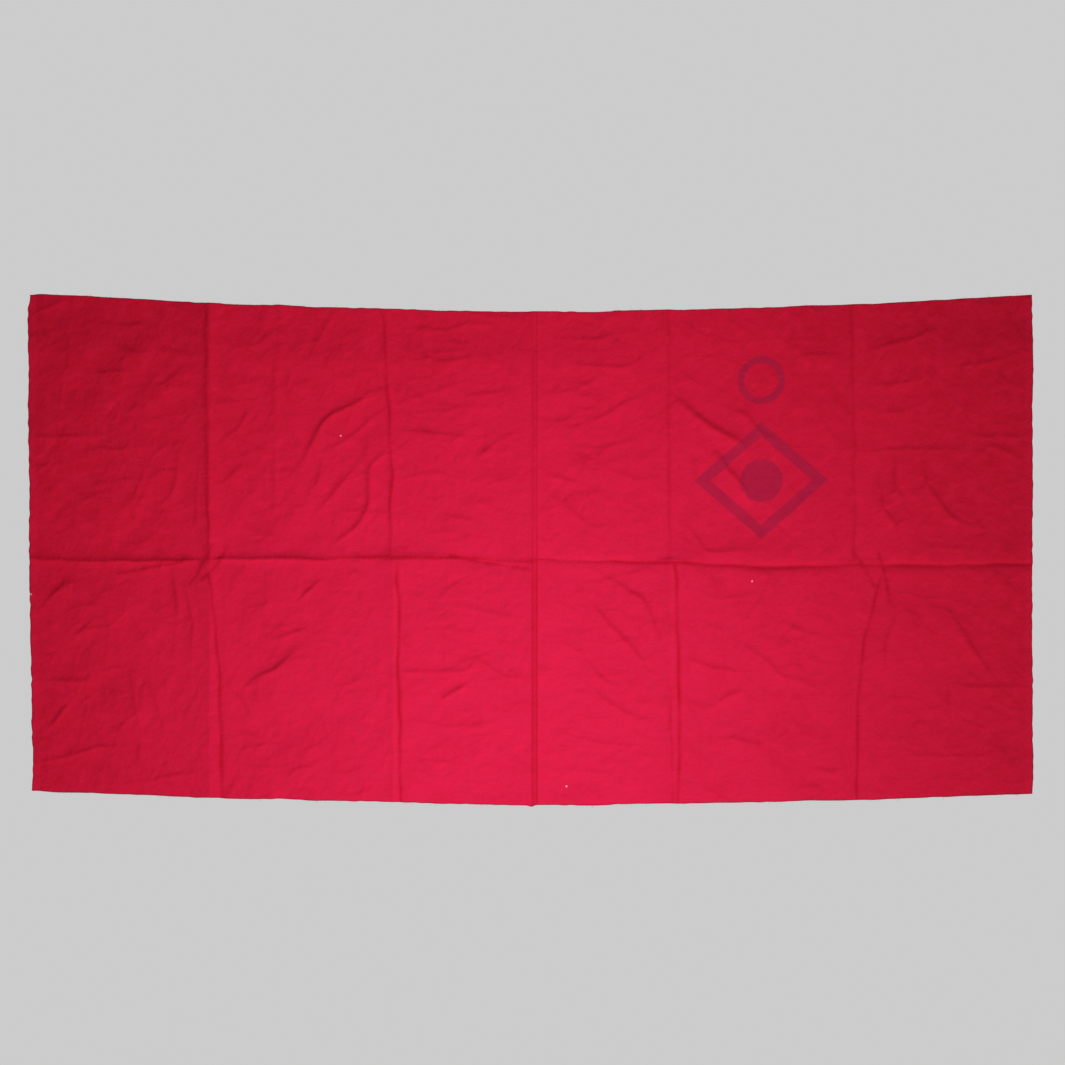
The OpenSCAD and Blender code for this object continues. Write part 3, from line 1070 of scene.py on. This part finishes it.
RED = (0.43, 0.0028, 0.0285, 1)
DEEP_RED = (0.375, 0.0014, 0.019, 1)
WORN_RED = (0.48, 0.0065, 0.038, 1)
# painted light: a pinker red near the lower middle; painted shade: a deeper red far from it
PAINTED_LIGHT_PINK = (0.41, 0.0054, 0.043, 1)
PAINTED_SHADE_RED = (0.345, 0.0002, 0.010, 1)
THREAD_RED = (0.33, 0.003, 0.018, 1)
SHOWN_THROUGH = (0.25, 0.0036, 0.026, 1)
# the red of painted shade along creases and folds, and along the seam
CREASE_SHADE_RED = (0.28, 0.0, 0.010, 1)
# the red of painted shade along the cloth's edges
EDGE_SHADE_RED = (0.12, 0.002, 0.012, 1)
LINT = (0.75, 0.35, 0.42, 1)
YELLOW = (0.80, 0.47, 0.07, 1)
RUBBED_YELLOW = (0.66, 0.33, 0.05, 1)
PINK_SHEEN = (1, 0.35, 0.45, 1)
PALE_FLOOR = [(0.74, 0.74, 0.74, 1), (0.78, 0.78, 0.78, 1)]
YARN = 0.55 * MM
THREAD_TWIST = 0.35 * MM
PAINT_BLUR = 1.6 * MM
# the middle of the painted light, low on the cloth
PAINTED_LIGHT_CENTRE = (0, -0.72, 0)  # the place on the flat cloth
SHADER = "Principled BSDF"


def plain_weave(nodes, across, up):
    """Height of a plain weave, from 0 to 1: yarns that go over and under each other."""
    over = nodes.math("SINE", nodes.math("MULTIPLY", across, math.pi / YARN))
    under = nodes.math("SINE", nodes.math("MULTIPLY", up, math.pi / YARN))
    crossing = nodes.math("MULTIPLY", over, under)
    return nodes.math("MULTIPLY_ADD", crossing, 0.5, 0.5)


def print_shadow(nodes, across, up):
    """1 where the paint on the back darkens the front: a lozenge line, a disc and a ring."""

    def from_centre(node):
        """How far across and up from a print's centre, and the blur, as shares of its half size."""
        x, z, half_width, half_height = middle_of(node)
        beside = nodes.math("DIVIDE", nodes.apart(across, x), half_width)
        above = nodes.math("DIVIDE", nodes.apart(up, z), half_height)
        return beside, above, PAINT_BLUR / half_width

    def radius(node):
        beside, above, blur = from_centre(node)
        squares = nodes.math("ADD", nodes.math("POWER", beside, 2), nodes.math("POWER", above, 2))
        return nodes.math("SQRT", squares), blur

    def within(value, blur):
        return nodes.ramp(value, 1 - blur, 1 + blur, 1, 0)

    def line(value, inner, blur):
        return nodes.math("MULTIPLY", within(value, blur), nodes.ramp(value, inner - blur, inner + blur))

    beside, above, blur = from_centre("lozenge_print")
    outline = line(nodes.math("ADD", beside, above), lozenge_hole_share(), blur)
    disc = within(*radius("disc_print"))
    distance, blur = radius("ring_print")
    ring = line(distance, 1 - RING_LINE / middle_of("ring_print")[2], blur)
    return nodes.math("MAXIMUM", outline, nodes.math("MAXIMUM", disc, ring))


def marks_on_front(nodes, colour, across, up, mottling):
    """Paint that shows through, painted shade along the seam and its stitch rows, the hems' lines, and
    painted shade along the edges.
    """
    worn = nodes.ramp(mottling, 0.2, 0.8, 0.75, 1)
    shadow = nodes.math("MULTIPLY", print_shadow(nodes, across, up), worn)
    colour = nodes.mixed(shadow, colour, SHOWN_THROUGH)
    # painted shade along the seam's step and its two rows of stitches, twice as strong below the long
    # crease
    low_down = nodes.ramp(up, CREASE - 5 * CM, CREASE + 5 * CM, 2, 1)
    from_seam = nodes.apart(across, sum(SEAM_ROWS) / 2)
    from_row = nodes.apart(from_seam, (SEAM_ROWS[1] - SEAM_ROWS[0]) / 2)
    for line in ((from_seam, 4 * MM, 6.5 * MM, 0.2, 0), (from_row, 0.5 * MM, 1.5 * MM, 0.42, 0)):
        colour = nodes.mixed(nodes.math("MULTIPLY", low_down, nodes.ramp(*line)), colour, CREASE_SHADE_RED)
    from_side = nodes.math("SUBTRACT", HOIST_EDGE, nodes.math("ABSOLUTE", across))
    colour = nodes.tinted(colour, WORN_RED, from_side, HEM_WIDTH * 0.9, HEM_WIDTH * 1.1, 0.12, 0)
    from_top, from_bottom = nodes.math("SUBTRACT", TOP, up), nodes.math("SUBTRACT", up, BOTTOM)
    from_edge = nodes.math("MINIMUM", from_side, nodes.math("MINIMUM", from_top, from_bottom))
    # painted shade along all four edges, where the rolled edge turns from the light
    return nodes.tinted(colour, EDGE_SHADE_RED, from_edge, 0.5 * MM, 2.2 * MM, 0.8, 0)


def cotton_material(name, seams_and_prints=True, darker=0.0):
    """Matt plain-woven red cotton: yarns, slubs, worn patches, painted light and shade, and fine
    crumpling.
    """
    nodes = Nodes(bpy.data.materials.new(name))
    vector, across, up = nodes.place()
    weave = plain_weave(nodes, across, up)
    slubs = nodes.uneven_yarns(vector, 1400, 60)
    mottling = nodes.noise(vector, 45, 4, 0.6)
    grain = nodes.noise(vector, 420, 3, 0.7)
    to_painted_light = nodes.add("ShaderNodeVectorMath", {0: vector, 1: PAINTED_LIGHT_CENTRE}, operation="DISTANCE")
    from_painted_light = to_painted_light.outputs[1]
    colour = DEEP_RED
    for tint, value, *amounts in (  # the value from low to high gives this much tint to that much
        (RED, nodes.noise(vector, 5, 3), 0.3, 0.7, 0.1, 0.6),
        # painted light and shade: pinker near a place low in the middle, deeper red towards the top and
        # the corners
        (PAINTED_LIGHT_PINK, from_painted_light, 0.1, 0.85, 0.75, 0),
        (PAINTED_SHADE_RED, from_painted_light, 0.45, 1.1, 0, 0.95),
        (WORN_RED, mottling, 0.35, 0.7, 0, 0.35),
        (DEEP_RED, grain, 0.35, 0.65, 0.22, 0),
        (THREAD_RED, slubs, 0.8, 1.2, 0.15, 0),
        (THREAD_RED, weave, 0, 0.6, 0.35, 0),
        (THREAD_RED, nodes.uneven_yarns(vector, 520, 22), 0.75, 1.25, 0.28, 0),
    ):
        colour = nodes.tinted(colour, tint, value, *amounts)
    # painted shade: the red turns darker along the sharp lines of creases and folds
    crease_shade = nodes.add("ShaderNodeAttribute", attribute_name="crease").outputs["Fac"]
    colour = nodes.mixed(nodes.math("MULTIPLY", crease_shade, 0.9), colour, CREASE_SHADE_RED)
    if darker:
        colour = nodes.tinted(colour, THREAD_RED, grain, 0.2, 0.8, darker, darker * 0.6)
    if seams_and_prints:
        colour = marks_on_front(nodes, colour, across, up, mottling)
    specks = nodes.add("ShaderNodeTexVoronoi", {"Vector": vector, "Scale": 1.7}, voronoi_dimensions="2D")
    colour = nodes.tinted(colour, LINT, specks.outputs["Distance"], 0.001, 0.003, 0.7, 0)

    fine = nodes.bump(nodes.noise(vector, 130, 5, 0.65), 0.5 * MM)
    coarse = nodes.bump(nodes.apart(nodes.noise(vector, 28, 3), 0.5), 2.7 * MM, fine)
    yarns = nodes.math("ADD", weave, nodes.math("MULTIPLY", slubs, 0.5))
    nodes.set(SHADER, Base_Color=colour, Normal=nodes.bump(yarns, 0.07 * MM, coarse))
    nodes.set(SHADER, Roughness=nodes.ramp(mottling, 0.2, 0.8, 0.82, 0.95), Specular_IOR_Level=0.08)
    nodes.set(SHADER, Sheen_Weight=0.07, Sheen_Roughness=0.45, Sheen_Tint=PINK_SHEEN)
    return nodes.owner


def thread_material():
    """Twisted sewing thread, a little shinier than the cloth."""
    nodes = Nodes(bpy.data.materials.new("sewing_thread"))
    vector, across, up = nodes.place()
    slanting = nodes.math("ADD", across, up)
    twist = nodes.math("SINE", nodes.math("MULTIPLY", slanting, 2 * math.pi / THREAD_TWIST))
    fuzz = nodes.noise(vector, 900, 3)
    colour = nodes.mixed(nodes.ramp(twist, -1, 1), DEEP_RED, RED)
    colour = nodes.tinted(colour, WORN_RED, fuzz, 0.4, 0.7, 0, 0.4)
    nodes.set(SHADER, Base_Color=colour, Normal=nodes.bump(twist, 0.05 * MM))
    nodes.set(SHADER, Roughness=nodes.ramp(fuzz, 0.2, 0.8, 0.5, 0.7), Specular_IOR_Level=0.1)
    return nodes.owner


def paint_material():
    """Old yellow fabric paint: sunk into the weave, rubbed and finely cracked."""
    nodes = Nodes(bpy.data.materials.new("yellow_paint"))
    vector, across, up = nodes.place()
    weave = plain_weave(nodes, across, up)
    rubbed = nodes.noise(vector, 60, 5, 0.65)
    cells = {"Vector": vector, "Scale": 160.0}
    cracks = nodes.add("ShaderNodeTexVoronoi", cells, feature="DISTANCE_TO_EDGE")
    crack = nodes.ramp(cracks.outputs["Distance"], 0.0, 0.06, 1, 0)
    wear = nodes.ramp(rubbed, 0.60, 0.72, 0, 0.75)
    wear = nodes.math("MAXIMUM", wear, nodes.math("MULTIPLY", crack, 0.45))
    colour = nodes.mixed(nodes.ramp(rubbed, 0.3, 0.8), YELLOW, RUBBED_YELLOW)
    height = nodes.math("SUBTRACT", nodes.math("MULTIPLY", weave, 0.5), crack)
    nodes.set(SHADER, Base_Color=nodes.mixed(wear, colour, DEEP_RED), Normal=nodes.bump(height, 0.08 * MM))
    nodes.set(SHADER, Roughness=nodes.ramp(rubbed, 0.2, 0.8, 0.45, 0.75), Specular_IOR_Level=0.4)
    return nodes.owner


def floor_material():
    nodes = Nodes(bpy.data.materials.new("pale_floor"))
    place = nodes.add("ShaderNodeTexCoord").outputs["Object"]
    cloud = nodes.ramp(nodes.noise(place, 2.0, 3), 0.3, 0.7)
    nodes.set(SHADER, Base_Color=nodes.mixed(cloud, *PALE_FLOOR), Roughness=0.9, Specular_IOR_Level=0.1)
    return nodes.owner


# ---------------------------------------------------------------- the flag

cotton = cotton_material("red_cotton")
double_cotton = cotton_material("red_cotton_double", seams_and_prints=False, darker=0.25)
thread = thread_material()
paint = paint_material()

for panel in PIECES_ON:
    make_panel(panel, cotton)
    make_frayed_edge(panel, thread)

seam_low, seam_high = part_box("centre_seam_upper")
for row in ROWS:
    panel = f"hoist_inner_{row}"
    make_strip(f"centre_seam_{row}", panel, seam_low.x, seam_high.x, 1, double_cotton)
    make_stitching(f"centre_seam_stitching_{row}", panel, SEAM_ROWS, 1, thread)
    for end in ("fly", "hoist"):
        low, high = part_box(f"{end}_hem_{row}")
        panel = f"{end}_outer_{row}"
        make_strip(f"{end}_hem_{row}", panel, low.x, high.x, 2, double_cotton)
        line = middle_of(f"{end}_hem_stitching_{row}")[0]
        make_stitching(f"{end}_hem_stitching_{row}", panel, [line], 2, thread)

make_prints(paint)
make_corner_knot(thread)

for panel, (cloth, *others) in PIECES_ON.items():
    column, row = column_and_row(panel)

# ---------------------------------------------------------------- floor, light and camera

FRAME_WIDTH = 1.699  # of the photo at the flag
FRAME_MIDDLE = (0.0016, -0.3533)
LENS = 90.0
SENSOR = 36.0
BACKGROUND = 0.604
FRONT_ROOM = 0.17
FLOOR_MIDDLE = (0, -0.75, -1.7)
FLOOR_HALF = (1.6, 1.5)


def make_floor():
    """A pale floor, low and short enough to stay below the photo's view."""
    x, y, z = FLOOR_MIDDLE
    signs = [(-1, -1), (1, -1), (1, 1), (-1, 1)]
    corners = [(x + a * FLOOR_HALF[0], y + b * FLOOR_HALF[1], z) for a, b in signs]
    mesh = bpy.data.meshes.new("floor")
    mesh.from_pydata(corners, [], [(0, 1, 2, 3)])
    mesh.materials.append(floor_material())
    floor = new_object("floor", mesh)
    floor.visible_shadow = False


def make_light(name, kind, place, aim, strength, **settings):
    """A light at a place, turned to shine at the aim."""
    data = bpy.data.lights.new(name, kind)
    data.energy = strength
    for key, value in settings.items():
        setattr(data, key, value)
    light = new_object(name, data)
    light.location = place
    light.rotation_mode = "QUATERNION"
    light.rotation_quaternion = (Vector(aim) - light.location).to_track_quat("-Z", "Y")
    light.visible_camera = False


def make_camera():
    data = bpy.data.cameras.new("camera")
    data.lens = LENS
    data.sensor_width = SENSOR
    camera = new_object("camera", data)
    camera.location = (FRAME_MIDDLE[0], -FRAME_WIDTH * LENS / SENSOR, FRAME_MIDDLE[1])
    camera.rotation_euler = (math.pi / 2, 0, 0)
    bpy.context.scene.camera = camera


def make_world():
    """A plain pale room that gives less light in front of the flag, so that the folds show."""
    world = bpy.data.worlds.new("pale_room")
    nodes = Nodes(world)
    direction = nodes.add("ShaderNodeTexCoord").outputs["Generated"]
    back = nodes.add("ShaderNodeSeparateXYZ", {0: direction}).outputs["Y"]
    room = nodes.ramp(back, -0.3, 0.5, FRONT_ROOM, BACKGROUND, shape="LINEAR")
    seen = nodes.add("ShaderNodeLightPath").outputs["Is Camera Ray"]
    seen = nodes.math("MULTIPLY", seen, BACKGROUND)
    nodes.set("Background", Color=nodes.math("MAXIMUM", room, seen))
    bpy.context.scene.world = world


make_floor()
make_world()
CENTRE = (0, 0, 0)
make_light("side_key", "SUN", (0.62, -0.42, -0.8), CENTRE, strength=3.4, angle=math.radians(10))
lamp_shape = {"shape": "RECTANGLE", "size": 0.4, "size_y": 1.1}
make_light("low_fill", "AREA", (0, -1.0, -0.69), (0, 0, -0.63), strength=15.0, **lamp_shape)
make_light("back_light", "SUN", (-0.75, 0.42, 0.5), CENTRE, strength=2.6, angle=math.radians(20))
make_camera()
bpy.context.scene.view_settings.view_transform = "Standard"
